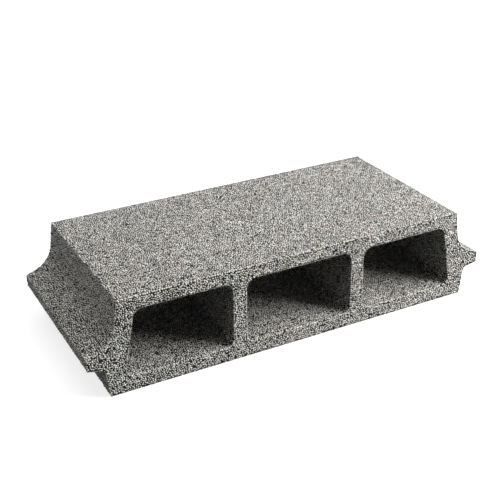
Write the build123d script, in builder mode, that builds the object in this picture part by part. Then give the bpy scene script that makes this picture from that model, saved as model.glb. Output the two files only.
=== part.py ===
from build123d import *

import os
from math import radians, tan

# Hollow concrete floor block, the infill unit of a beam-and-block floor.
#
# One pressed concrete piece. Its outside section is constant along the beams: a flat deck,
# two side walls that flare through a cove into a nib, and a base that drops between the
# beams. Three cells run right through it, left by cores that taper so that they draw out.
#
# Frame: X across the block from nib to nib, Y along the beams, Z up. The origin is at the
# centre of the soffit, the face that the block stands on.

# Overall sizes, in millimetres
overall_width = 530.0  # from nib tip to nib tip, for beams at 600 mm centres
block_length = 222.0  # along the beams
block_height = 118.0  # soffit to deck

# Outside of the section
top_setback = 39.0  # how far the deck's edge stands in from the nib tip
side_draft = 8.3  # degrees, lean of the side wall
cove_radius = 35.0  # between side wall and nib
nib_top_slope = 22.0  # degrees, fall of the nib's upper face towards its tip
nib_tip_thickness = 14.5
nib_reach = 20.0  # bearing on the beam's heel
seat_slope = 10.0  # degrees, rise of the nib's underside towards its tip
rebate_height = 36.0  # soffit to the inner end of the nib's underside
rebate_radius = 6.0  # between the nib's underside and the base
base_draft = 6.5  # degrees, lean of the base's sides
arris_radius = 1.5  # long outside edges

# Cells
deck_thickness = 16.5
soffit_thickness = 19.0
web_thickness = 17.0
side_wall = 21.0  # measured level, at the ceiling and the floor of the side cells
middle_cell_width = 141.5
ceiling_radius = 12.0  # upper corners of the cells
floor_radius = 9.0  # lower corners of the cells
core_taper = 1.5  # how far each core wall closes in from the front face to the back

# Share of a straight edge that the cove's tangents may take up
cove_share = 0.9

# Places worked out from the sizes, on the +X side of the section
nib_tip_x = overall_width / 2
deck_edge_x = nib_tip_x - top_setback
rebate_x = nib_tip_x - nib_reach
soffit_edge_x = rebate_x - rebate_height * tan(radians(base_draft))
seat_tip_z = rebate_height + nib_reach * tan(radians(seat_slope))
nib_top_z = seat_tip_z + nib_tip_thickness
ceiling_z = block_height - deck_thickness
floor_z = soffit_thickness

# The line of the side wall meets the line of the nib's upper face at the heart of the cove
wall_lean = tan(radians(side_draft))
nib_fall = tan(radians(nib_top_slope))
cove_run = (top_setback - (block_height - nib_top_z) * wall_lean) / (1 - wall_lean * nib_fall)
cove_x = nib_tip_x - cove_run
cove_z = nib_top_z + cove_run * nib_fall

# The cove has its full radius where the wall and the nib leave room for its tangents
cove_half_turn = radians(90 - side_draft - nib_top_slope) / 2
cove_room = cove_share * min(cove_run, block_height - cove_z)
fitted_cove_radius = min(cove_radius, cove_room / tan(cove_half_turn))

front_face = Plane.XZ.offset(block_length / 2)
back_face = Plane.XZ.offset(-block_length / 2)


def cell_corners():
    """Corners of the three cells at their mouths: floor, floor, ceiling, ceiling for each."""
    middle_x = middle_cell_width / 2
    inner_x = middle_x + web_thickness
    wall_at_ceiling = deck_edge_x + (block_height - ceiling_z) * wall_lean
    base_at_floor = soffit_edge_x + floor_z * tan(radians(base_draft))
    middle = [
        (-middle_x, floor_z),
        (middle_x, floor_z),
        (middle_x, ceiling_z),
        (-middle_x, ceiling_z),
    ]
    right = [
        (inner_x, floor_z),
        (base_at_floor - side_wall, floor_z),
        (wall_at_ceiling - side_wall, ceiling_z),
        (inner_x, ceiling_z),
    ]
    left = [(-x, z) for x, z in right]
    return [left, middle, right]


def cell_section(plane, corners, closing):
    """A cell's section on a plane, closed in all round by a distance from its size at the mouth."""
    with BuildSketch(plane) as section:
        with BuildLine():
            FilletPolyline(
                *corners,
                radius=[floor_radius, floor_radius, ceiling_radius, ceiling_radius],
                close=True,
            )
        make_face()
        if closing:
            offset(amount=-closing, mode=Mode.REPLACE)
    return section.sketch


# Floor block
with BuildPart() as floor_block:
    # Outside: one half of the section with its corners rounded, mirrored and drawn out
    with BuildSketch(front_face):
        with BuildLine():
            FilletPolyline(
                (0, block_height),
                (deck_edge_x, block_height),
                (cove_x, cove_z),
                (nib_tip_x, nib_top_z),
                (nib_tip_x, seat_tip_z),
                (rebate_x, rebate_height),
                (soffit_edge_x, 0),
                (0, 0),
                radius=[
                    arris_radius,
                    fitted_cove_radius,
                    arris_radius,
                    arris_radius,
                    rebate_radius,
                    arris_radius,
                ],
            )
            mirror(about=Plane.YZ)
        make_face()
    extrude(amount=-block_length)

    # Cells: each tapers from its mouth in the front face to a smaller opening at the back
    for corners in cell_corners():
        mouth = cell_section(front_face, corners, 0)
        far_end = cell_section(back_face, corners, core_taper)
        loft([mouth, far_end], ruled=True, mode=Mode.SUBTRACT)

floor_block.part.label = "floor_block"
os.makedirs("parts", exist_ok=True)
export_step(floor_block.part, "parts/floor_block.step")
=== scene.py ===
"""Looks of a hollow concrete floor block: its cement body, its coats of grains, and the studio round it."""

import logging
import math
from dataclasses import dataclass, field
from enum import Enum

import bpy
import numpy as np
from mathutils import Matrix, Vector, geometry


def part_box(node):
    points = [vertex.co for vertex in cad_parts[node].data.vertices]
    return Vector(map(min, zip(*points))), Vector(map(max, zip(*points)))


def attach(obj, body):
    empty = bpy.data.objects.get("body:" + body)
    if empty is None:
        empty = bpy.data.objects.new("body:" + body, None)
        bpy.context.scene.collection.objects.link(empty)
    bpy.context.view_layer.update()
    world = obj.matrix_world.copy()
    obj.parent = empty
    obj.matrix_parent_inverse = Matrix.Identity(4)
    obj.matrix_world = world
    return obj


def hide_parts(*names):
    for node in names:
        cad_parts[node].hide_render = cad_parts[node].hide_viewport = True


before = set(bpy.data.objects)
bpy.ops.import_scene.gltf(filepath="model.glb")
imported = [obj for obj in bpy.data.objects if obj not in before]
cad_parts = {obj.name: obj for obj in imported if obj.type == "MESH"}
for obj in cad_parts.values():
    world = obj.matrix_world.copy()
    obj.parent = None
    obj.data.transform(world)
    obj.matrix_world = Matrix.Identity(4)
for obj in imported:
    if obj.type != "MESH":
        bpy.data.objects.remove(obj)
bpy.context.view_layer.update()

log = logging.getLogger("floor_block")

MM = 0.001
BAKE_MAP = "OFBake"  # name of each mesh's map, where no two triangles overlap

# The imported model's node and body
NODE = "floor_block"
BODY = "root"

# Columns of a place that lie in the section
XZ = [0, 2]

# Places this near to a level count as on it, and places are told apart to the micrometre
LEVEL_GAP = 0.01 * MM
PLACE_DECIMALS = 6

# Sockets of a node that mixes colours, by number
MIX_FACTOR, MIX_FIRST, MIX_SECOND, MIX_RESULT = 0, 6, 7, 2

Triple = tuple[float, float, float]
Socket = bpy.types.NodeSocket

BLACK: Triple = (0.0, 0.0, 0.0)
WHITE: Triple = (1.0, 1.0, 1.0)


class End(Enum):
    """One of the block's two end faces, numbered as its ring stands in a skin's grid."""

    FRONT = 0
    BACK = -1


class Loop(Enum):
    """A closed loop of the section, numbered as the loops are read."""

    OUTSIDE = 0
    LEFT_CELL = 1
    MIDDLE_CELL = 2
    RIGHT_CELL = 3


CELLS = (Loop.LEFT_CELL, Loop.MIDDLE_CELL, Loop.RIGHT_CELL)


class Face(Enum):
    """A stretch of the outside, between two of its long arrises."""

    SOFFIT = "soffit"
    LEFT_SIDE = "left_side"
    RIGHT_SIDE = "right_side"
    DECK = "deck"


class Join(Enum):
    """How two numbers are joined in a node tree."""

    MULTIPLY = "MULTIPLY"
    MAXIMUM = "MAXIMUM"


class Blend(Enum):
    """How a second colour is laid over a first."""

    COVER = "MIX"
    DYE = "MULTIPLY"


class Trait(Enum):
    """What a mesh tells its finish about each of its points."""

    # A grain's grey, with its face's painted light or shade in it
    TONE = "tone"
    TINT = "tint"
    # How high a point stands on its grain; low points take painted shade
    CROWN = "crown"


@dataclass
class NodePad:
    """Adds nodes to one node tree and wires them as they are added."""

    tree: bpy.types.NodeTree

    def add(self, kind: str, inputs: dict | None = None, **settings: object) -> bpy.types.Node:
        """Add a node.

        Args:
            kind: The node's type name.
            inputs: Values or output sockets for its inputs, by name or number.
            settings: The node's own properties.

        Returns:
            The new node.
        """
        node = self.tree.nodes.new(kind)
        for name, setting in settings.items():
            setattr(node, name, setting)
        for name, given in (inputs or {}).items():
            self.feed(node.inputs[name], given)
        return node

    def feed(self, socket: Socket, given: object) -> None:
        """Wire a socket to another one, or set its value.

        Args:
            socket: The socket to feed.
            given: An output socket or a value. A colour comes without its alpha.
        """
        if isinstance(given, Socket):
            self.tree.links.new(given, socket)
        elif isinstance(given, tuple) and len(socket.default_value) == len(given) + 1:
            socket.default_value = (*given, 1.0)
        else:
            socket.default_value = given

    def join(self, how: Join, first: object, second: object) -> Socket:
        """Join two numbers and return the result's socket."""
        return self.add("ShaderNodeMath", {0: first, 1: second}, operation=how.value).outputs[0]

    def ease(
        self, value: Socket, low: object, high: object, start: object = 0.0, stop: object = 1.0
    ) -> Socket:
        """Ease a value from one range into another.

        Args:
            value: Socket with the value.
            low: Where the change starts.
            high: Where it ends.
            start: Result at and before the start.
            stop: Result at and past the end.

        Returns:
            The result's socket.
        """
        limits = {"Value": value, "From Min": low, "From Max": high, "To Min": start, "To Max": stop}
        return self.add("ShaderNodeMapRange", limits, interpolation_type="SMOOTHSTEP").outputs[0]

    def blend(self, factor: object, first: object, second: object, how: Blend = Blend.COVER) -> Socket:
        """Blend two colours.

        Args:
            factor: Share of the second colour.
            first: Colour where the factor is 0.
            second: Colour that is laid over it.
            how: How it is laid over.

        Returns:
            The blended colour's socket.
        """
        colours = {MIX_FACTOR: factor, MIX_FIRST: first, MIX_SECOND: second}
        node = self.add("ShaderNodeMix", colours, data_type="RGBA", blend_type=how.value)
        return node.outputs[MIX_RESULT]

    def noise(self, place: Socket, size: float, detail: float = 2.0) -> Socket:
        """Return a socket with soft noise of a size in metres."""
        sizes = {"Vector": place, "Scale": 1 / size, "Detail": detail}
        return self.add("ShaderNodeTexNoise", sizes).outputs[0]

    def trait(self, trait: Trait) -> Socket:
        """Return a socket with what the mesh tells about each of its points."""
        return self.add("ShaderNodeAttribute", attribute_name=trait.value).outputs["Fac"]


@dataclass(frozen=True)
class CementFilm:
    """The cement on every surface, which both finishes share.

    It has sandy specks, soft patches, faint warm and cool tints, and a fine bump.
    """

    name: str = "cement_film"
    sand_size: float = 1.1 * MM
    sand_detail: float = 1.0
    sand_depth: float = 0.30  # share of the light that the darkest specks take
    patch_size: float = 55 * MM
    patch_depth: float = 0.08  # share of the light that the darkest patches take
    tint_size: float = 26 * MM
    warm: Triple = (1.0, 0.981, 0.963)
    cool: Triple = (0.981, 1.0, 0.988)
    noise_low: float = 0.34  # range over which a noise goes from dark to pale, or cool to warm
    noise_high: float = 0.62

    def group(self) -> bpy.types.NodeTree:
        """Build the shader node group, if it isn't there yet.

        Returns:
            The group's tree.
        """
        made = bpy.data.node_groups.get(self.name)
        if made:
            return made
        tree = bpy.data.node_groups.new(self.name, "ShaderNodeTree")
        tree.interface.new_socket("Colour", in_out="INPUT", socket_type="NodeSocketColor")
        tree.interface.new_socket("Colour", in_out="OUTPUT", socket_type="NodeSocketColor")
        tree.interface.new_socket("Height", in_out="OUTPUT", socket_type="NodeSocketFloat")
        pad = NodePad(tree)
        bare = pad.add("NodeGroupInput").outputs[0]
        place = pad.add("ShaderNodeTexCoord").outputs["Object"]
        sand = pad.noise(place, self.sand_size, self.sand_detail)
        patch = pad.noise(place, self.patch_size)
        speck = pad.ease(sand, self.noise_low, self.noise_high, 1 - self.sand_depth, 1.0)
        shade = pad.ease(patch, self.noise_low, self.noise_high, 1 - self.patch_depth, 1.0)
        shade = pad.join(Join.MULTIPLY, speck, shade)
        warmth = pad.ease(pad.noise(place, self.tint_size), self.noise_low, self.noise_high)
        tinted = pad.blend(1.0, bare, pad.blend(warmth, self.cool, self.warm), Blend.DYE)
        colour = pad.blend(shade, BLACK, tinted)
        pad.add("NodeGroupOutput", {"Colour": colour, "Height": sand})
        return tree

    def coat(self, pad: NodePad, colour: Socket) -> tuple[Socket, Socket]:
        """Coat a colour in a material.

        Args:
            pad: The material's pad.
            colour: Socket with the bare colour.

        Returns:
            Sockets with the coated colour and the height for a bump.
        """
        film = pad.add("ShaderNodeGroup", node_tree=self.group())
        pad.feed(film.inputs["Colour"], colour)
        return film.outputs["Colour"], film.outputs["Height"]


@dataclass(frozen=True)
class ConcreteFinish:
    """What the body's and the grains' finishes have in common."""

    name: str
    film: CementFilm = CementFilm()
    roughness: float = 0.92
    specular: float = 0.2
    bump_distance: float = 0.5 * MM
    bump_strength: float = 0.6

    def bare_colour(self, pad: NodePad) -> Socket:
        """Return a socket with the colour under the cement film."""
        raise NotImplementedError

    def make(self) -> bpy.types.Material:
        """Build the material, if it isn't there yet.

        Returns:
            The material.
        """
        made = bpy.data.materials.get(self.name)
        if made:
            return made
        material = bpy.data.materials.new(self.name)
        material.use_nodes = True
        pad = NodePad(material.node_tree)
        shader = material.node_tree.nodes["Principled BSDF"]
        colour, height = self.film.coat(pad, self.bare_colour(pad))
        relief = {"Height": height, "Distance": self.bump_distance, "Strength": self.bump_strength}
        bump = pad.add("ShaderNodeBump", relief)
        pad.feed(shader.inputs["Base Color"], colour)
        pad.feed(shader.inputs["Normal"], bump.outputs[0])
        shader.inputs["Roughness"].default_value = self.roughness
        shader.inputs["Specular IOR Level"].default_value = self.specular
        return material


@dataclass(frozen=True)
class BodyFinish(ConcreteFinish):
    """The cement between the grains: its paste painted near black as the shade in the gaps, with darker
    painted shade in its pores.
    """

    name: str = "cement_body"
    # Both colours are painted shade for the gaps between grains: the paste near black, the pores darker
    # still
    pore_shade: Triple = (0.022, 0.022, 0.021)
    paste_and_shade: Triple = (0.045, 0.044, 0.042)
    pore_size: float = 1.6 * MM
    pore_low: float = 0.45  # range of the noise over which a pore's painted shade gives way to the paste
    pore_high: float = 0.75

    def bare_colour(self, pad: NodePad) -> Socket:
        """Mix the painted shade of the pores and of the paste.

        Args:
            pad: The material's pad.

        Returns:
            Socket with the colour under the cement film.
        """
        place = pad.add("ShaderNodeTexCoord").outputs["Object"]
        closed = pad.ease(pad.noise(place, self.pore_size), self.pore_low, self.pore_high)
        # Painted shade: the pores darken the already shaded paste
        return pad.blend(closed, self.pore_shade, self.paste_and_shade)


@dataclass(frozen=True)
class GrainFinish(ConcreteFinish):
    """Cement-coated grains: each its own grey, with its face's painted light or shade, some of them warm or
    cool, and painted shade low down on their flanks.
    """

    name: str = "coated_grain"
    pale: Triple = (0.93, 0.915, 0.88)
    dull: Triple = (0.31, 0.304, 0.292)
    warm: Triple = (0.55, 0.45, 0.41)
    cool: Triple = (0.40, 0.45, 0.41)
    # Painted shade on a grain's low flanks, in the gaps between grains
    pore_shade: Triple = (0.02, 0.02, 0.019)
    warm_from: float = 0.92  # a grain's tint, from 0 to 1, past which it is warm
    cool_to: float = 0.08  # and up to which it is cool
    tint_share: float = 0.5  # of the warm or cool colour, at most
    crown_low: float = 0.38  # range from root to crown over which a grain comes out of its painted shade
    crown_high: float = 0.64

    def bare_colour(self, pad: NodePad) -> Socket:
        """Colour each grain by its traits.

        Args:
            pad: The material's pad.

        Returns:
            Socket with the colour under the cement film.
        """
        # Each grain's grey, with its face's painted light or shade
        colour = pad.blend(pad.trait(Trait.TONE), self.dull, self.pale)
        tint = pad.trait(Trait.TINT)
        warm = pad.ease(tint, self.warm_from, 1.0, 0.0, self.tint_share)
        cool = pad.ease(tint, 0.0, self.cool_to, self.tint_share, 0.0)
        colour = pad.blend(warm, colour, self.warm)
        colour = pad.blend(cool, colour, self.cool)
        # Painted shade: a grain darkens towards its root, down into the gaps
        crown = pad.ease(pad.trait(Trait.CROWN), self.crown_low, self.crown_high)
        return pad.blend(crown, self.pore_shade, colour)


def direct_view(pad: NodePad) -> Socket:
    """Find what the camera sees straight on, by reflection or through glass.

    Args:
        pad: Pad of the material or the sky that is seen.

    Returns:
        Socket that is 1 for such a view, and 0 for light on its way to the block.
    """
    path = pad.add("ShaderNodeLightPath").outputs
    seen = pad.join(Join.MAXIMUM, path["Is Camera Ray"], path["Is Glossy Ray"])
    return pad.join(Join.MAXIMUM, seen, path["Is Transmission Ray"])


@dataclass(frozen=True)
class FloorFinish:
    """The pale studio floor: white to the eye, with a soft shadow, and dim in the light it sends back."""

    name: str = "studio_floor"
    glow: float = 0.80  # under and near the block, where the lamps add the rest of the white
    far_glow: float = 1.0
    near: float = 0.5  # distances from the block between which the glow grows
    far: float = 1.3
    shown: Triple = (0.28, 0.28, 0.28)
    bounce: Triple = (0.06, 0.06, 0.06)

    def make(self) -> bpy.types.Material:
        """Build the material.

        Returns:
            The material.
        """
        material = bpy.data.materials.new(self.name)
        material.use_nodes = True
        material.node_tree.nodes.clear()
        pad = NodePad(material.node_tree)
        lit = pad.add("ShaderNodeBsdfDiffuse", {"Color": self.shown})
        place = pad.add("ShaderNodeTexCoord").outputs["Object"]
        away = pad.add("ShaderNodeVectorMath", {0: place}, operation="LENGTH").outputs["Value"]
        level = pad.ease(away, self.near, self.far, self.glow, self.far_glow)
        glow = pad.add("ShaderNodeEmission", {"Strength": level})
        pale = pad.add("ShaderNodeAddShader", {0: lit.outputs[0], 1: glow.outputs[0]})
        dim = pad.add("ShaderNodeBsdfDiffuse", {"Color": self.bounce})
        both = pad.add("ShaderNodeMixShader", {0: direct_view(pad), 1: dim.outputs[0], 2: pale.outputs[0]})
        pad.add("ShaderNodeOutputMaterial", {"Surface": both.outputs[0]})
        return material


@dataclass(frozen=True)
class Outline:
    """One closed loop of an end face, anticlockwise seen from the front."""

    points: np.ndarray

    @property
    def closed(self) -> np.ndarray:
        """The loop's points with the first one again at the end."""
        return np.vstack([self.points, self.points[:1]])

    @property
    def lengths(self) -> np.ndarray:
        """Length of the loop up to each of its points, and back to the first."""
        return np.concatenate([[0.0], np.cumsum(np.linalg.norm(np.diff(self.closed, axis=0), axis=1))])

    @property
    def around(self) -> float:
        """Length of the whole loop."""
        return float(self.lengths[-1])

    def at(self, along: np.ndarray) -> np.ndarray:
        """Find places along the loop.

        Args:
            along: Distances from the loop's start, any shape.

        Returns:
            X and Z of each place, in a last axis of two.
        """
        lengths, closed = self.lengths, self.closed
        along = np.mod(along, lengths[-1])
        return np.stack([np.interp(along, lengths, closed[:, axis]) for axis in (0, 1)], axis=-1)

    def outward(self, along: np.ndarray, reach: float = 0.6 * MM) -> np.ndarray:
        """Find the direction out of the loop.

        Args:
            along: Distances from the loop's start.
            reach: How far to each side the loop's run is read.

        Returns:
            X and Z of the unit direction at each place.
        """
        run = self.at(along + reach) - self.at(along - reach)
        out = np.stack([run[..., 1], -run[..., 0]], axis=-1)
        return out / np.linalg.norm(out, axis=-1, keepdims=True)

    def arrises(self, turn: float = 25.0, span: float = 2.6 * MM, reads: int = 8) -> np.ndarray:
        """Find the loop's sharp outward corners.

        Args:
            turn: Least turn of a corner, in degrees.
            span: Length over which it turns.
            reads: How often the loop is read over that length.

        Returns:
            Distance of each corner from the loop's start.
        """
        along = np.arange(0.0, self.around, span / reads)
        here = self.at(along)
        before, after = here - self.at(along - span), self.at(along + span) - here
        bend = np.degrees(np.arcsin((before[:, 0] * after[:, 1] - before[:, 1] * after[:, 0]) / span**2))
        sharpest = (bend >= np.roll(bend, 1)) & (bend > np.roll(bend, -1)) & (bend > turn)
        return along[sharpest]

    def holds(self, places: np.ndarray) -> np.ndarray:
        """Tell which places lie inside the loop.

        Args:
            places: X and Z of each place.

        Returns:
            True for each place inside.
        """
        after = np.roll(self.points, -1, axis=0)
        x, z = places[:, 0, None], places[:, 1, None]
        crosses = (self.points[:, 1] > z) != (after[:, 1] > z)
        rise = np.where(after[:, 1] == self.points[:, 1], 1.0, after[:, 1] - self.points[:, 1])
        meet = self.points[:, 0] + (z - self.points[:, 1]) / rise * (after[:, 0] - self.points[:, 0])
        return (crosses & (x < meet)).sum(axis=1) % 2 == 1

    def clearance(self, places: np.ndarray, step: float = 1.0 * MM) -> np.ndarray:
        """Measure how far places lie from the loop.

        Args:
            places: X and Z of each place.
            step: How finely the loop is read.

        Returns:
            The distances.
        """
        line = self.at(np.arange(0.0, self.around, step))
        return np.array([math.sqrt(np.min(np.sum((line - place) ** 2, axis=1))) for place in places])


def trace(edges: np.ndarray) -> list[list[int]]:
    """Follow edges round into closed loops.

    Args:
        edges: Pairs of point numbers. Each point is in two of them.

    Returns:
        The point numbers of each loop, in order.
    """
    beside: dict[int, list[int]] = {}
    for first, second in edges.tolist():
        beside.setdefault(first, []).append(second)
        beside.setdefault(second, []).append(first)
    loops = []
    while beside:
        start = next(iter(beside))
        loop = [start]
        step = beside.pop(start)[0]
        while step != start:
            loop.append(step)
            step = next(place for place in beside.pop(step) if place != loop[-2])
        loops.append(loop)
    return loops


def start_low(loop: np.ndarray) -> Outline:
    """Turn a loop anticlockwise and start it at the middle of its lowest edge.

    Args:
        loop: X and Z of its points.

    Returns:
        The outline.
    """
    after = np.roll(loop, -1, axis=0)
    if (loop[:, 0] * after[:, 1] - after[:, 0] * loop[:, 1]).sum() < 0:
        loop = loop[::-1]
    after = np.roll(loop, -1, axis=0)
    lowest = np.isclose(loop[:, 1] + after[:, 1], 2 * loop[:, 1].min(), atol=LEVEL_GAP)
    first = int(np.argmax(np.where(lowest, after[:, 0] - loop[:, 0], 0.0)))
    middle = (loop[first] + after[first]) / 2
    return Outline(np.vstack([middle, np.roll(loop, -first - 1, axis=0)]))


def between(loops: list[Outline], places: np.ndarray) -> np.ndarray:
    """Tell which places lie inside the first of some loops and outside the rest.

    Args:
        loops: The outer loop, then those within it.
        places: X and Z of each place.

    Returns:
        True for each such place.
    """
    outer, *cells = loops
    inside = outer.holds(places)
    for cell in cells:
        inside &= ~cell.holds(places)
    return inside


@dataclass
class Section:
    """The block's shape as the CAD node has it: its box, its end faces' loops and its long arrises."""

    node: bpy.types.Object
    low: np.ndarray = field(init=False)
    high: np.ndarray = field(init=False)
    loops: dict[End, list[Outline]] = field(init=False)
    sharp: np.ndarray = field(init=False)

    def __post_init__(self) -> None:
        """Read the box, the loops and the arrises off the node."""
        self.low, self.high = (np.array(corner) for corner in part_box(self.node.name))
        self.loops = {end: self.read(end) for end in End}
        self.sharp = self.outline(End.FRONT, Loop.OUTSIDE).arrises()

    @property
    def length(self) -> float:
        """Length of the block along the beams."""
        return float(self.high[1] - self.low[1])

    def level(self, end: End) -> float:
        """Place of an end face along the block."""
        return float(self.low[1] if end is End.FRONT else self.high[1])

    def outline(self, end: End, loop: Loop) -> Outline:
        """One loop of an end face."""
        return self.loops[end][loop.value]

    def read(self, end: End) -> list[Outline]:
        """Read the loops of an end face.

        Args:
            end: Which end face.

        Returns:
            The outer loop, then the cells from left to right.
        """
        mesh = self.node.data
        mesh.calc_loop_triangles()
        places = np.array([vertex.co for vertex in mesh.vertices])
        corners = np.array([triangle.vertices for triangle in mesh.loop_triangles])
        places, merged = np.unique(np.round(places, PLACE_DECIMALS), axis=0, return_inverse=True)
        corners = merged.ravel()[corners]
        flat = np.isclose(places[corners][:, :, 1], self.level(end), atol=LEVEL_GAP).all(axis=1)
        edges = corners[flat][:, [[0, 1], [1, 2], [2, 0]]].reshape(-1, 2)
        kept, counts = np.unique(np.sort(edges, axis=1), axis=0, return_counts=True)
        loops = [places[loop][:, XZ] for loop in trace(kept[counts == 1])]
        outer = max(loops, key=lambda loop: np.ptp(loop[:, 0]))
        cells = sorted((loop for loop in loops if loop is not outer), key=lambda loop: loop[:, 0].mean())
        return [start_low(loop) for loop in (outer, *cells)]

    def skin(self, loop: Loop, along: np.ndarray, way: np.ndarray) -> np.ndarray:
        """Find places on a skin, drawn out from a loop's front end to its back end.

        Args:
            loop: The loop.
            along: Distances round its front end from its start.
            way: Distances along the block from the front face.

        Returns:
            The places.
        """
        front, back = (self.outline(end, loop) for end in End)
        share = (way / self.length)[..., None]
        ring = front.at(along) * (1 - share) + back.at(along / front.around * back.around) * share
        return np.stack([ring[..., 0], self.low[1] + way, ring[..., 1]], axis=-1)

    def out(self, end: End, loop: Loop, along: np.ndarray) -> np.ndarray:
        """Return X and Z of the unit direction out of the concrete, at distances round a loop."""
        away = self.outline(end, loop).outward(along)
        return away if loop is Loop.OUTSIDE else -away

    def in_concrete(self, end: End, places: np.ndarray) -> np.ndarray:
        """Tell which places of an end face, given as X and Z, lie in the concrete."""
        return between(self.loops[end], places)

    def rim_gap(self, end: End, places: np.ndarray) -> np.ndarray:
        """Distance of places on an end face from its nearest loop."""
        return np.min([loop.clearance(places) for loop in self.loops[end]], axis=0)


def spread(grid: np.ndarray, step: float, share: float = 0.5) -> np.ndarray:
    """Push neighbours in a staggered grid apart where they stand closer than a step.

    Args:
        grid: Places by row and column. Every second row is half a step along.
        step: Distance to reach.
        share: Share of the missing distance that each one moves.

    Returns:
        The places, moved.
    """
    far = 1.0  # metres, so that the fringe pushes nothing
    neighbours = ((0, -1), (0, 1), (-1, -1), (-1, 0), (1, -1), (1, 0))
    row, column = np.indices(grid.shape[:2]) + 1
    odd = (row - 1) % 2
    fringed = np.pad(grid, ((1, 1), (1, 1), (0, 0)), constant_values=far)
    moved = grid.copy()
    for up, along in neighbours:
        gap = grid - fringed[row + up, column + along + odd * abs(up)]
        distance = np.linalg.norm(gap, axis=-1, keepdims=True)
        moved += gap / distance * np.maximum(step - distance, 0.0) * share
    return moved


def staggered(
    low: np.ndarray,
    high: np.ndarray,
    step: float,
    jitter: float,
    rng: np.random.Generator,
    passes: int = 3,
) -> np.ndarray:
    """Fill a rectangle with places in no order, about evenly far from each other.

    Args:
        low: Its lowest corner.
        high: Its highest corner.
        step: Distance between neighbours.
        jitter: Largest move from a staggered grid, as a share of the step.
        rng: Source of the moves.
        passes: How often crowded neighbours are pushed apart.

    Returns:
        The places.
    """
    row_step = step * math.sqrt(3) / 2
    columns = np.arange(low[0], high[0], step)
    rows = np.arange(low[1], high[1], row_step)
    grid = np.stack(np.meshgrid(columns, rows), axis=-1)
    grid[1::2, :, 0] += step / 2
    grid = grid + rng.uniform(-jitter, jitter, grid.shape) * step
    for _ in range(passes):
        grid = spread(grid, step)
    return grid.reshape(-1, 2)


def make_piece(
    name: str,
    places: np.ndarray,
    triangles: np.ndarray,
    flat: np.ndarray,
    traits: dict[Trait, np.ndarray],
    finish: ConcreteFinish,
) -> bpy.types.Object:
    """Make a smooth mesh piece with its map, its traits and its finish.

    Args:
        name: The piece's name.
        places: Its points.
        triangles: Point numbers of its triangles.
        flat: Place of each triangle corner on the map.
        traits: Values at its points, which its finish reads.
        finish: Its finish.

    Returns:
        The piece.
    """
    mesh = bpy.data.meshes.new(name)
    mesh.from_pydata(places.tolist(), [], triangles.tolist())
    mesh.polygons.foreach_set("use_smooth", np.ones(len(triangles), bool))
    mesh.uv_layers.new(name=BAKE_MAP).data.foreach_set("uv", flat.astype(np.float32).ravel())
    for trait, values in traits.items():
        told = mesh.attributes.new(trait.value, "FLOAT", "POINT")
        told.data.foreach_set("value", values.astype(np.float32))
    mesh.materials.append(finish.make())
    piece = bpy.data.objects.new(name, mesh)
    bpy.context.scene.collection.objects.link(piece)
    return piece


@dataclass
class SkinGrid:
    """A skin's grid of points: one ring of columns for each station along the block."""

    loop: Loop
    first: int
    along: np.ndarray
    way: np.ndarray
    places: np.ndarray
    around: float

    @property
    def rings(self) -> np.ndarray:
        """Point numbers, by station and column."""
        return self.first + np.arange(self.along.size).reshape(self.along.shape)


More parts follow.
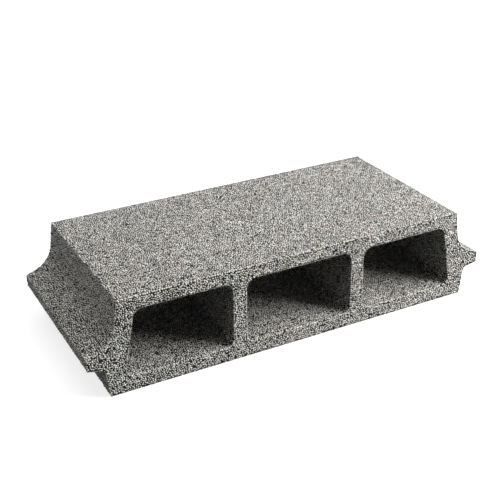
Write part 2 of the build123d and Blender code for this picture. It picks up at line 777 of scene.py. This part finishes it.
@dataclass
class CementBody:
    """The block's body: one closed mesh, sunk unevenly under the CAD faces to make a bed for the grains."""

    section: Section
    finish: BodyFinish = field(default_factory=BodyFinish)
    name: str = "cement_body"
    step: float = 4.0 * MM  # between points
    jitter: float = 0.25  # largest move of a point, in steps
    split_share: float = 0.5  # of the quads, cut along their first diagonal
    bed: float = 0.70 * MM  # least depth under the CAD face
    bed_rough: float = 0.15 * MM  # most that is added to it
    fill_gap: float = 1e-7  # nearer points of an end face are merged
    map_gap: float = 5.0 * MM
    seed: int = 17
    rng: np.random.Generator = field(init=False)

    def __post_init__(self) -> None:
        """Start the source of the body's unevenness."""
        self.rng = np.random.default_rng(self.seed)

    @property
    def map_row(self) -> float:
        """Height of a row of skins on the map."""
        return self.section.length + self.map_gap

    @property
    def map_end(self) -> float:
        """Height of an end face on the map."""
        return float(self.section.high[2] - self.section.low[2]) + self.map_gap

    def build(self) -> bpy.types.Object:
        """Build the body and dress it.

        Returns:
            The piece.
        """
        skins = self.draw_skins()
        places = [skin.places.reshape(-1, 3) for skin in skins]
        faced = [self.face_skin(skin) for skin in skins]
        triangles, charts = [faces for faces, _ in faced], [chart for _, chart in faced]
        for end in End:
            inner, faces = self.face_end(end, skins, sum(len(group) for group in places))
            places.append(inner)
            triangles.append(faces)
        places = np.vstack(places)
        flat = self.lay_map(skins, charts, [places[faces] for faces in triangles[len(skins):]])
        triangles = np.vstack(triangles)
        return make_piece(self.name, self.sink(places, triangles), triangles, flat, {}, self.finish)

    def draw_skins(self) -> list[SkinGrid]:
        """Draw the outside and the cells out along the block, as loose grids of points.

        Returns:
            The grids, in the order of the loops.
        """
        skins, first = [], 0
        stations = np.linspace(0.0, self.section.length, math.ceil(self.section.length / self.step) + 1)
        for loop in Loop:
            around = self.section.outline(End.FRONT, loop).around
            columns, loose = self.columns(loop, around)
            along, way = np.meshgrid(columns, stations)
            shake = self.rng.uniform(-self.jitter, self.jitter, (2, *along.shape)) * self.step
            along = along + shake[0] * loose
            way[1:-1] += shake[1][1:-1]
            skins.append(SkinGrid(loop, first, along, way, self.section.skin(loop, along, way), around))
            first += along.size
        return skins

    def columns(self, loop: Loop, around: float) -> tuple[np.ndarray, np.ndarray]:
        """Space columns of points round a loop, with one on each long arris.

        Args:
            loop: The loop.
            around: Its length.

        Returns:
            Distances from the loop's start, and whether each column may move.
        """
        fixed = self.section.sharp if loop is Loop.OUTSIDE else np.array([])
        stops = np.concatenate([[0.0], fixed, [around]])
        runs = [
            np.linspace(start, stop, math.ceil((stop - start) / self.step) + 1)[:-1]
            for start, stop in zip(stops[:-1], stops[1:])
        ]
        columns = np.concatenate(runs)
        return columns, ~np.isin(columns, fixed)

    def face_skin(self, skin: SkinGrid) -> tuple[np.ndarray, np.ndarray]:
        """Lay triangles over a skin's grid.

        Args:
            skin: The grid.

        Returns:
            Point numbers of each triangle, and its corners on the unrolled skin with their column.
        """
        along, way, rings = skin.along, skin.way, skin.rings
        turned = np.roll(along, -1, axis=1)
        turned[:, -1] += skin.around
        pairs = ((rings, np.roll(rings, -1, axis=1)), (along, turned), (way, np.roll(way, -1, axis=1)))
        quads, flat_x, flat_y = (
            np.stack([here[:-1], beside[:-1], beside[1:], here[1:]], axis=-1).reshape(-1, 4)
            for here, beside in pairs
        )
        column = np.broadcast_to(np.tile(np.arange(rings.shape[1]), len(rings) - 1)[:, None], quads.shape)
        flat = np.stack([flat_x, flat_y, column], axis=-1)
        if skin.loop is Loop.OUTSIDE:
            quads, flat = quads[:, ::-1], flat[:, ::-1]
        split = self.rng.random(len(quads)) < self.split_share
        cuts = np.where(split[:, None, None], [[0, 1, 2], [0, 2, 3]], [[0, 1, 3], [1, 2, 3]])
        rows = np.arange(len(quads))[:, None, None]
        return quads[rows, cuts].reshape(-1, 3), flat[rows, cuts].reshape(-1, 3, 3)

    def face_end(self, end: End, skins: list[SkinGrid], first: int) -> tuple[np.ndarray, np.ndarray]:
        """Fill an end face between the outer loop and the cells.

        Args:
            end: Which end face.
            skins: The grids whose rims it meets.
            first: Number of its first own point.

        Returns:
            Its own points and its triangles.
        """
        rims = [skin.places[end.value][:, XZ] for skin in skins]
        numbers = np.concatenate([skin.rings[end.value] for skin in skins])
        low, high = self.section.low[XZ], self.section.high[XZ]
        grid = staggered(low, high, self.step, self.jitter, self.rng)
        grid = grid[self.section.in_concrete(end, grid)]
        grid = grid[self.section.rim_gap(end, grid) > self.step / 2]
        edges, start = [], 0
        for rim in rims:
            edges += [(start + step, start + (step + 1) % len(rim)) for step in range(len(rim))]
            start += len(rim)
        flat = [Vector(place) for place in np.vstack([*rims, grid])]
        made, _, faces, sources, *_ = geometry.delaunay_2d_cdt(flat, edges, [], 0, self.fill_gap)
        source = np.array([group[0] for group in sources])
        faces = np.array(faces)
        inside = between([Outline(rim) for rim in rims], np.array(made)[faces].mean(axis=1))
        numbers = np.concatenate([numbers, first + np.arange(len(grid))])
        faces = numbers[source[faces[inside]]]
        inner = np.column_stack([grid[:, 0], np.full(len(grid), self.section.level(end)), grid[:, 1]])
        return inner, faces if end is End.FRONT else faces[:, ::-1]

    def sink(self, places: np.ndarray, triangles: np.ndarray) -> np.ndarray:
        """Sink every point under its face, by an uneven depth.

        Args:
            places: All points.
            triangles: All triangles.

        Returns:
            The points, sunk.
        """
        corners = places[triangles]
        facing = np.cross(corners[:, 1] - corners[:, 0], corners[:, 2] - corners[:, 0])
        normals = np.zeros_like(places)
        for corner in range(3):
            np.add.at(normals, triangles[:, corner], facing)
        normals /= np.linalg.norm(normals, axis=1, keepdims=True)
        depth = self.bed + self.bed_rough * self.rng.random(len(places))
        return places - normals * depth[:, None]

    def map_side(self, skins: list[SkinGrid]) -> float:
        """Find a square that holds the skins in rows, with a gap after each, and the end faces under them.

        Args:
            skins: The grids.

        Returns:
            The square's side.
        """
        total = sum(skin.around for skin in skins)
        gaps = len(skins) * self.map_gap
        side = float(self.section.high[0] - self.section.low[0])
        while math.ceil(total / (side - gaps)) * self.map_row + len(End) * self.map_end > side:
            side += self.map_gap
        return side

    def lay_map(
        self, skins: list[SkinGrid], charts: list[np.ndarray], ends: list[np.ndarray]
    ) -> np.ndarray:
        """Lay the skins in rows, and the end faces under them, on one square map.

        Args:
            skins: The grids.
            charts: For each skin, its triangles' corners when it is unrolled, with their column.
            ends: For each end face, its triangles' corners.

        Returns:
            Place of each triangle corner on the map, between 0 and 1.
        """
        side = self.map_side(skins)
        laid, used, row = [], self.map_gap, 0
        for skin, chart in zip(skins, charts):
            starts = skin.along.min(axis=0)
            reaches = np.append(skin.along.max(axis=0)[1:], skin.around + skin.along[:, 0].max())
            shift = np.zeros((len(starts), 2))
            begin = starts[0]
            for column, reach in enumerate(reaches):
                if used + reach - begin > side - self.map_gap:
                    row += 1
                    used, begin = self.map_gap, starts[column]
                shift[column] = used - begin, row * self.map_row + self.map_gap / 2
            used += reaches[-1] - begin + self.map_gap
            column = chart[:, 0, 2].astype(int)
            laid.append(chart[:, :, :2] + shift[column][:, None])
        base = (row + 1) * self.map_row
        for number, corners in enumerate(ends):
            corner = corners[:, :, XZ] - self.section.low[XZ]
            laid.append(corner + [self.map_gap, base + number * self.map_end])
        return np.vstack(laid) / side


@dataclass(frozen=True)
class GrainShape:
    """One grain: a crushed stone with a crown, four corners round its waist and a root in the body."""

    waist_level: float = 0.36  # depth of the waist under the crown, as a share of the height
    waist_crown: float = 0.41  # how much the waist belongs to the crown, and so how little painted shade it takes
    map_centre: float = 0.5
    map_waist: float = 0.45  # reach of the waist from the centre of the grain's square on the map

    @property
    def ways(self) -> np.ndarray:
        """Direction of each corner of the waist."""
        return np.array([[1.0, 0.0], [0.0, 1.0], [-1.0, 0.0], [0.0, -1.0]])

    def points(self) -> np.ndarray:
        """The crown, the waist's corners and the root, 1 in radius and from 1 down to 0 in height."""
        waist = np.insert(self.ways, 2, 1 - self.waist_level, axis=1)
        return np.vstack([[0.0, 0.0, 1.0], waist, [0.0, 0.0, 0.0]])

    def crowns(self) -> np.ndarray:
        """How much each point belongs to the crown, out of the painted shade low on the grain."""
        return np.array([1.0, *[self.waist_crown] * len(self.ways), 0.0])

    def triangles(self) -> np.ndarray:
        """Join the points into a closed shape.

        Returns:
            Point numbers of the triangles round the crown, then of those round the root.
        """
        waist = 1 + np.arange(len(self.ways))
        beside = np.roll(waist, -1)
        upper = np.column_stack([np.zeros_like(waist), waist, beside])
        lower = np.column_stack([np.full_like(waist, 1 + len(waist)), beside, waist])
        return np.vstack([upper, lower])

    def flat(self) -> np.ndarray:
        """Lay the triangles in the grain's own square of the map: crown inside, root in the corners.

        Returns:
            Each triangle's corners, between 0 and 1.
        """
        here = self.ways * self.map_waist
        beside = np.roll(here, -1, axis=0)
        upper = np.stack([np.zeros_like(here), here, beside], axis=1)
        lower = np.stack([here + beside, beside, here], axis=1)
        return self.map_centre + np.vstack([upper, lower])


@dataclass(frozen=True)
class GrainBed:
    """Where a coat's grains stand: each crown's place, the direction out of the face, and the radius."""

    places: np.ndarray
    normals: np.ndarray
    radii: np.ndarray
    endways_from: float = 0.9  # a normal with this share of its length along the block is that of an end

    def pick(self, chosen: np.ndarray) -> "GrainBed":
        """Return the bed with only the chosen grains."""
        return GrainBed(self.places[chosen], self.normals[chosen], self.radii[chosen])

    def axes(self, rng: np.random.Generator) -> np.ndarray:
        """Turn each grain about its own normal at random.

        Args:
            rng: Source of the turns.

        Returns:
            Each grain's three axes, the normal last.
        """
        endways = np.abs(self.normals[:, 1:2]) > self.endways_from
        side = np.cross(np.where(endways, [[1.0, 0.0, 0.0]], [[0.0, 1.0, 0.0]]), self.normals)
        side /= np.linalg.norm(side, axis=1, keepdims=True)
        turn = rng.uniform(0, 2 * math.pi, len(self.radii))[:, None]
        first = np.cos(turn) * side + np.sin(turn) * np.cross(self.normals, side)
        return np.stack([first, np.cross(self.normals, first), self.normals], axis=1)


@dataclass(frozen=True)
class GrainMix:
    """How a face's grains are set: how far apart, how large, how pale with the face's painted light or
    shade, and what share is missing.
    """

    step: float
    radius: float
    # The face's mean grey, which holds painted light and shade: paler on faces in shade, darker on faces
    # the lamps light most
    tone: float
    tone_spread: float
    missing: float


@dataclass
class GrainCoat:
    """The grains that show on one face, as one mesh. Each stands in the body with its crown at the face."""

    name: str
    mix: GrainMix
    finish: GrainFinish = field(default_factory=GrainFinish)
    shape: GrainShape = field(default_factory=GrainShape)
    jitter: float = 0.5  # largest move from a staggered grid, in steps
    radius_spread: float = 0.12  # deviation of the radius's logarithm
    height: float = 1.6 * MM  # from root to crown
    sink: float = 0.15 * MM  # of the deepest crown under the face
    sink_power: int = 2  # crowds the crowns towards the face
    stretch: float = 0.26  # largest change of a grain's width along either of its axes
    rough: float = 0.2  # largest change of each of a point's three measures, as a share
    skew: float = 0.25  # largest sideways move of a point, in radii
    clear_share: float = 0.85  # least room round a grain's centre within the outside, in radii
    rim_jitter: float = 0.25  # largest move along a rim, in steps
    edge_room: float = 0.55  # least distance from an end or a rim, in steps
    edge_tuck: float = 0.08  # how far a rim's grain is tucked in, in radii

    def sizes(self, count: int, rng: np.random.Generator) -> np.ndarray:
        """Draw the grains' radii."""
        return self.mix.radius * np.exp(rng.normal(0.0, self.radius_spread, count))

    def stones(self, radii: np.ndarray, rng: np.random.Generator) -> np.ndarray:
        """Shape each grain by itself, upright, with its highest point at the level 0.

        Args:
            radii: The grains' radii.
            rng: Source of the grains' differences.

        Returns:
            Each grain's points.
        """
        unit = self.shape.points()
        local = np.broadcast_to(unit, (len(radii), *unit.shape)).copy()
        local *= 1 + rng.uniform(-self.rough, self.rough, local.shape)
        local[:, :, :2] += rng.uniform(-self.skew, self.skew, (*local.shape[:2], 2))
        local[:, :, 2] -= local[:, :, 2].max(axis=1, keepdims=True)
        local[:, :, :2] *= 1 + rng.uniform(-self.stretch, self.stretch, (len(radii), 1, 2))
        local[:, :, :2] *= radii[:, None, None]
        local[:, :, 2] *= self.height
        return local

    def build(self, bed: GrainBed, section: Section, rng: np.random.Generator) -> bpy.types.Object:
        """Build the grains and dress them.

        Args:
            bed: Where the grains stand.
            section: The block's shape, whose box the grains keep within.
            rng: Source of the grains' differences.

        Returns:
            The piece.
        """
        bed = bed.pick(rng.random(len(bed.radii)) > self.mix.missing)
        local = self.stones(bed.radii, rng)
        count, size = local.shape[:2]
        crown = bed.places - bed.normals * (self.sink * rng.random(count) ** self.sink_power)[:, None]
        points = crown[:, None] + np.einsum("npa,nax->npx", local, bed.axes(rng))
        points = np.clip(points, section.low, section.high)
        number = np.arange(count)
        triangles = (number[:, None, None] * size + self.shape.triangles()).reshape(-1, 3)
        across = math.ceil(math.sqrt(count))
        square = np.column_stack([number % across, number // across])
        flat = (square[:, None, None] + self.shape.flat()).reshape(-1, 3, 2) / across
        # Each grain's grey spreads at random about its face's grey, which holds painted light and shade
        tones_and_painted_light = self.mix.tone + self.mix.tone_spread * rng.uniform(-1, 1, count)
        traits = {
            Trait.TONE: np.repeat(tones_and_painted_light, size),
            Trait.TINT: np.repeat(rng.random(count), size),
            Trait.CROWN: np.tile(self.shape.crowns(), count),
        }
        return make_piece(self.name, points.reshape(-1, 3), triangles, flat, traits, self.finish)

    def on_skin(
        self, section: Section, loop: Loop, start: float, stop: float, rng: np.random.Generator
    ) -> bpy.types.Object:
        """Coat a stretch of a skin.

        Args:
            section: The block's shape.
            loop: The skin's loop.
            start: Where the stretch starts round the loop.
            stop: Where it ends.
            rng: Source of the grains' differences.

        Returns:
            The piece.
        """
        low, high = np.array([start, 0.0]), np.array([stop, section.length])
        along, way = staggered(low, high, self.mix.step, self.jitter, rng).T
        depth = np.minimum(way, section.length - way)
        fits = (depth > self.edge_room * self.mix.step) & (along > start) & (along < stop)
        along, way = along[fits], way[fits]
        radii = self.sizes(len(along), rng)
        places = section.skin(loop, along, way)
        out = section.out(End.FRONT, loop, along)
        normals = np.column_stack([out[:, 0], np.zeros(len(out)), out[:, 1]])
        bed = GrainBed(places, normals, radii)
        if loop is Loop.OUTSIDE:
            centres = places[:, XZ] - out * radii[:, None]
            clear = section.outline(End.FRONT, loop).clearance(centres)
            bed = bed.pick(clear > self.clear_share * radii)
        return self.build(bed, section, rng)

    def on_end(self, section: Section, end: End, rng: np.random.Generator) -> bpy.types.Object:
        """Coat an end face and the arrises round it.

        Args:
            section: The block's shape.
            end: Which end face.
            rng: Source of the grains' differences.

        Returns:
            The piece.
        """
        step = self.mix.step
        grid = staggered(section.low[XZ], section.high[XZ], step, self.jitter, rng)
        grid = grid[section.in_concrete(end, grid)]
        grid = grid[section.rim_gap(end, grid) > self.edge_room * step]
        facing = -1.0 if end is End.FRONT else 1.0
        places = [np.insert(grid, 1, section.level(end), axis=1)]
        normals = [np.broadcast_to([0.0, facing, 0.0], places[0].shape)]
        radii = [self.sizes(len(grid), rng)]
        for loop in Loop:
            outline = section.outline(end, loop)
            along = np.arange(0.0, outline.around, step)
            along = along + rng.uniform(-self.rim_jitter, self.rim_jitter, len(along)) * step
            size = self.sizes(len(along), rng)
            bisector = np.insert(section.out(end, loop, along), 1, facing, axis=1) / math.sqrt(2)
            rim = np.insert(outline.at(along), 1, section.level(end), axis=1)
            places.append(rim - bisector * (self.edge_tuck * size)[:, None])
            normals.append(bisector)
            radii.append(size)
        bed = GrainBed(np.vstack(places), np.vstack(normals), np.concatenate(radii))
        return self.build(bed, section, rng)


@dataclass
class FloorBlock:
    """The whole block: its body, and a coat of grains on each face and in each cell, each coat's grey
    holding painted light and shade.
    """

    node: bpy.types.Object
    # Painted light and shade: each face's grey is set so that the faces match under these lamps. The shaded
    # left side and the ends are paler, the deck and the cells darker, and the right side, which the key box
    # lights most, far darker. The hidden soffit's grey is a guess.
    deck: GrainMix = GrainMix(2.9 * MM, 1.35 * MM, tone=0.66, tone_spread=0.16, missing=0.02)
    left_side: GrainMix = GrainMix(2.9 * MM, 1.37 * MM, tone=0.96, tone_spread=0.16, missing=0.03)
    right_side: GrainMix = GrainMix(2.9 * MM, 1.40 * MM, tone=0.15, tone_spread=0.14, missing=0.03)
    end: GrainMix = GrainMix(2.8 * MM, 1.42 * MM, tone=0.92, tone_spread=0.14, missing=0.02)
    cell: GrainMix = GrainMix(2.9 * MM, 1.36 * MM, tone=0.80, tone_spread=0.16, missing=0.03)
    soffit: GrainMix = GrainMix(3.6 * MM, 1.74 * MM, tone=0.79, tone_spread=0.16, missing=0.03)
    edge_gap: float = 2 * MM  # an arris this near to the soffit or the deck is its edge
    seed: int = 31

    def build(self) -> list[bpy.types.Object]:
        """Build all the block's pieces.

        Returns:
            The pieces, the body first.
        """
        section = Section(self.node)
        rng = np.random.default_rng(self.seed)
        pieces = [CementBody(section).build()]
        mixes = {
            Face.SOFFIT: self.soffit,
            Face.LEFT_SIDE: self.left_side,
            Face.RIGHT_SIDE: self.right_side,
            Face.DECK: self.deck,
        }
        for face, (start, stop) in self.stretches(section).items():
            coat = GrainCoat(f"{face.value}_grains", mixes[face])
            pieces.append(coat.on_skin(section, Loop.OUTSIDE, start, stop, rng))
        for end in End:
            coat = GrainCoat(f"{end.name.lower()}_grains", self.end)
            pieces.append(coat.on_end(section, end, rng))
        for loop in CELLS:
            coat = GrainCoat(f"{loop.name.lower()}_grains", self.cell)
            pieces.append(coat.on_skin(section, loop, 0.0, section.outline(End.FRONT, loop).around, rng))
        return pieces

    def stretches(self, section: Section) -> dict[Face, tuple[float, float]]:
        """Find where each face of the outside starts and stops round its loop.

        Args:
            section: The block's shape.

        Returns:
            For each face, its start and stop. The soffit starts before the loop's own start.
        """
        outline = section.outline(End.FRONT, Loop.OUTSIDE)
        levels = outline.at(section.sharp)[:, 1]
        feet = section.sharp[np.isclose(levels, section.low[2], atol=self.edge_gap)]
        brows = section.sharp[np.isclose(levels, section.high[2], atol=self.edge_gap)]
        return {
            Face.SOFFIT: (feet.max() - outline.around, feet.min()),
            Face.RIGHT_SIDE: (feet.min(), brows.min()),
            Face.DECK: (brows.min(), brows.max()),
            Face.LEFT_SIDE: (brows.max(), feet.max()),
        }


@dataclass(frozen=True)
class PhotoCamera:
    """The camera at the photograph's viewing angle. Lengths are in metres and angles in degrees."""

    name: str = "photo_camera"
    aim: Triple = (-0.0036, 0.0082, 0.0700)
    azimuth: float = -27.714
    elevation: float = 26.923
    roll: float = -0.697
    distance: float = 1.2235
    lens: float = 69.60  # millimetres, and so is the sensor
    sensor: float = 36.0

    def place(self) -> bpy.types.Object:
        """Make the camera and set it as the scene's.

        Returns:
            The camera.
        """
        turn, rise = math.radians(self.azimuth), math.radians(self.elevation)
        back = Vector((math.sin(turn) * math.cos(rise), -math.cos(turn) * math.cos(rise), math.sin(rise)))
        data = bpy.data.cameras.new(self.name)
        data.lens, data.sensor_width = self.lens, self.sensor
        camera = bpy.data.objects.new(self.name, data)
        facing = (-back).to_track_quat("-Z", "Y").to_matrix()
        rolled = facing @ Matrix.Rotation(math.radians(self.roll), 3, "Z")
        camera.matrix_world = Matrix.Translation(Vector(self.aim) + back * self.distance) @ rolled.to_4x4()
        bpy.context.scene.collection.objects.link(camera)
        bpy.context.scene.camera = camera
        return camera


@dataclass(frozen=True)
class SoftLamp:
    """A square soft box: its place and size in metres, and its power in watts."""

    name: str
    place: Triple
    size: float
    power: float

    def hang(self, aim: Triple) -> bpy.types.Object:
        """Make the lamp.

        Args:
            aim: The place that it faces.

        Returns:
            The lamp.
        """
        data = bpy.data.lights.new(self.name, "AREA")
        data.size, data.energy = self.size, self.power
        lamp = bpy.data.objects.new(self.name, data)
        lamp.location = self.place
        lamp.rotation_euler = (Vector(aim) - Vector(self.place)).to_track_quat("-Z", "Y").to_euler()
        bpy.context.scene.collection.objects.link(lamp)
        return lamp


@dataclass
class Studio:
    """A pale floor, an even dim sky, and soft boxes.

    The key is near by at the right, a wide box hangs overhead, and weaker ones are behind and at the left.
    """

    finish: FloorFinish = field(default_factory=FloorFinish)
    floor_name: str = "studio_floor"
    floor_reach: float = 6.0
    sky_name: str = "studio_sky"
    sky: float = 0.10  # strength of its light on the block
    aim: Triple = (0.0, 0.0, 0.06)
    lamps: tuple[SoftLamp, ...] = (
        SoftLamp("key_box", (0.95, -0.62, 0.80), size=0.9, power=39.0),
        SoftLamp("top_box", (0.0, 0.0, 2.0), size=2.0, power=32.0),
        SoftLamp("back_box", (0.2, 1.5, 1.7), size=1.2, power=14.0),
        SoftLamp("side_box", (-1.8, 0.2, 1.0), size=1.2, power=4.0),
    )

    def set_up(self) -> None:
        """Lay the floor, light the sky and hang the lamps."""
        self.lay_floor()
        self.light_sky()
        for lamp in self.lamps:
            lamp.hang(self.aim)

    def lay_floor(self) -> None:
        """Lay a square floor."""
        reach = self.floor_reach
        mesh = bpy.data.meshes.new(self.floor_name)
        corners = [(-reach, -reach, 0), (reach, -reach, 0), (reach, reach, 0), (-reach, reach, 0)]
        mesh.from_pydata(corners, [], [(0, 1, 2, 3)])
        mesh.materials.append(self.finish.make())
        floor = bpy.data.objects.new(self.floor_name, mesh)
        bpy.context.scene.collection.objects.link(floor)

    def light_sky(self) -> None:
        """Make the sky white to the eye and dim in the light that it sends."""
        world = bpy.data.worlds.new(self.sky_name)
        bpy.context.scene.world = world
        world.use_nodes = True
        pad = NodePad(world.node_tree)
        level = pad.ease(direct_view(pad), 0.0, 1.0, self.sky, 1.0)
        background = world.node_tree.nodes["Background"]
        pad.feed(background.inputs["Color"], WHITE)
        pad.feed(background.inputs["Strength"], level)


def main() -> None:
    """Build the studio and the block in order, and report each piece."""
    logging.basicConfig(level=logging.INFO, format="%(name)s: %(message)s")
    bpy.context.scene.view_settings.view_transform = "Standard"
    PhotoCamera().place()
    Studio().set_up()
    pieces = FloorBlock(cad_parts[NODE]).build()
    for piece in pieces:
        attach(piece, BODY)
        log.info("%s: %d triangles", piece.name, len(piece.data.polygons))
    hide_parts(NODE)


if __name__ == "__main__":
    main()
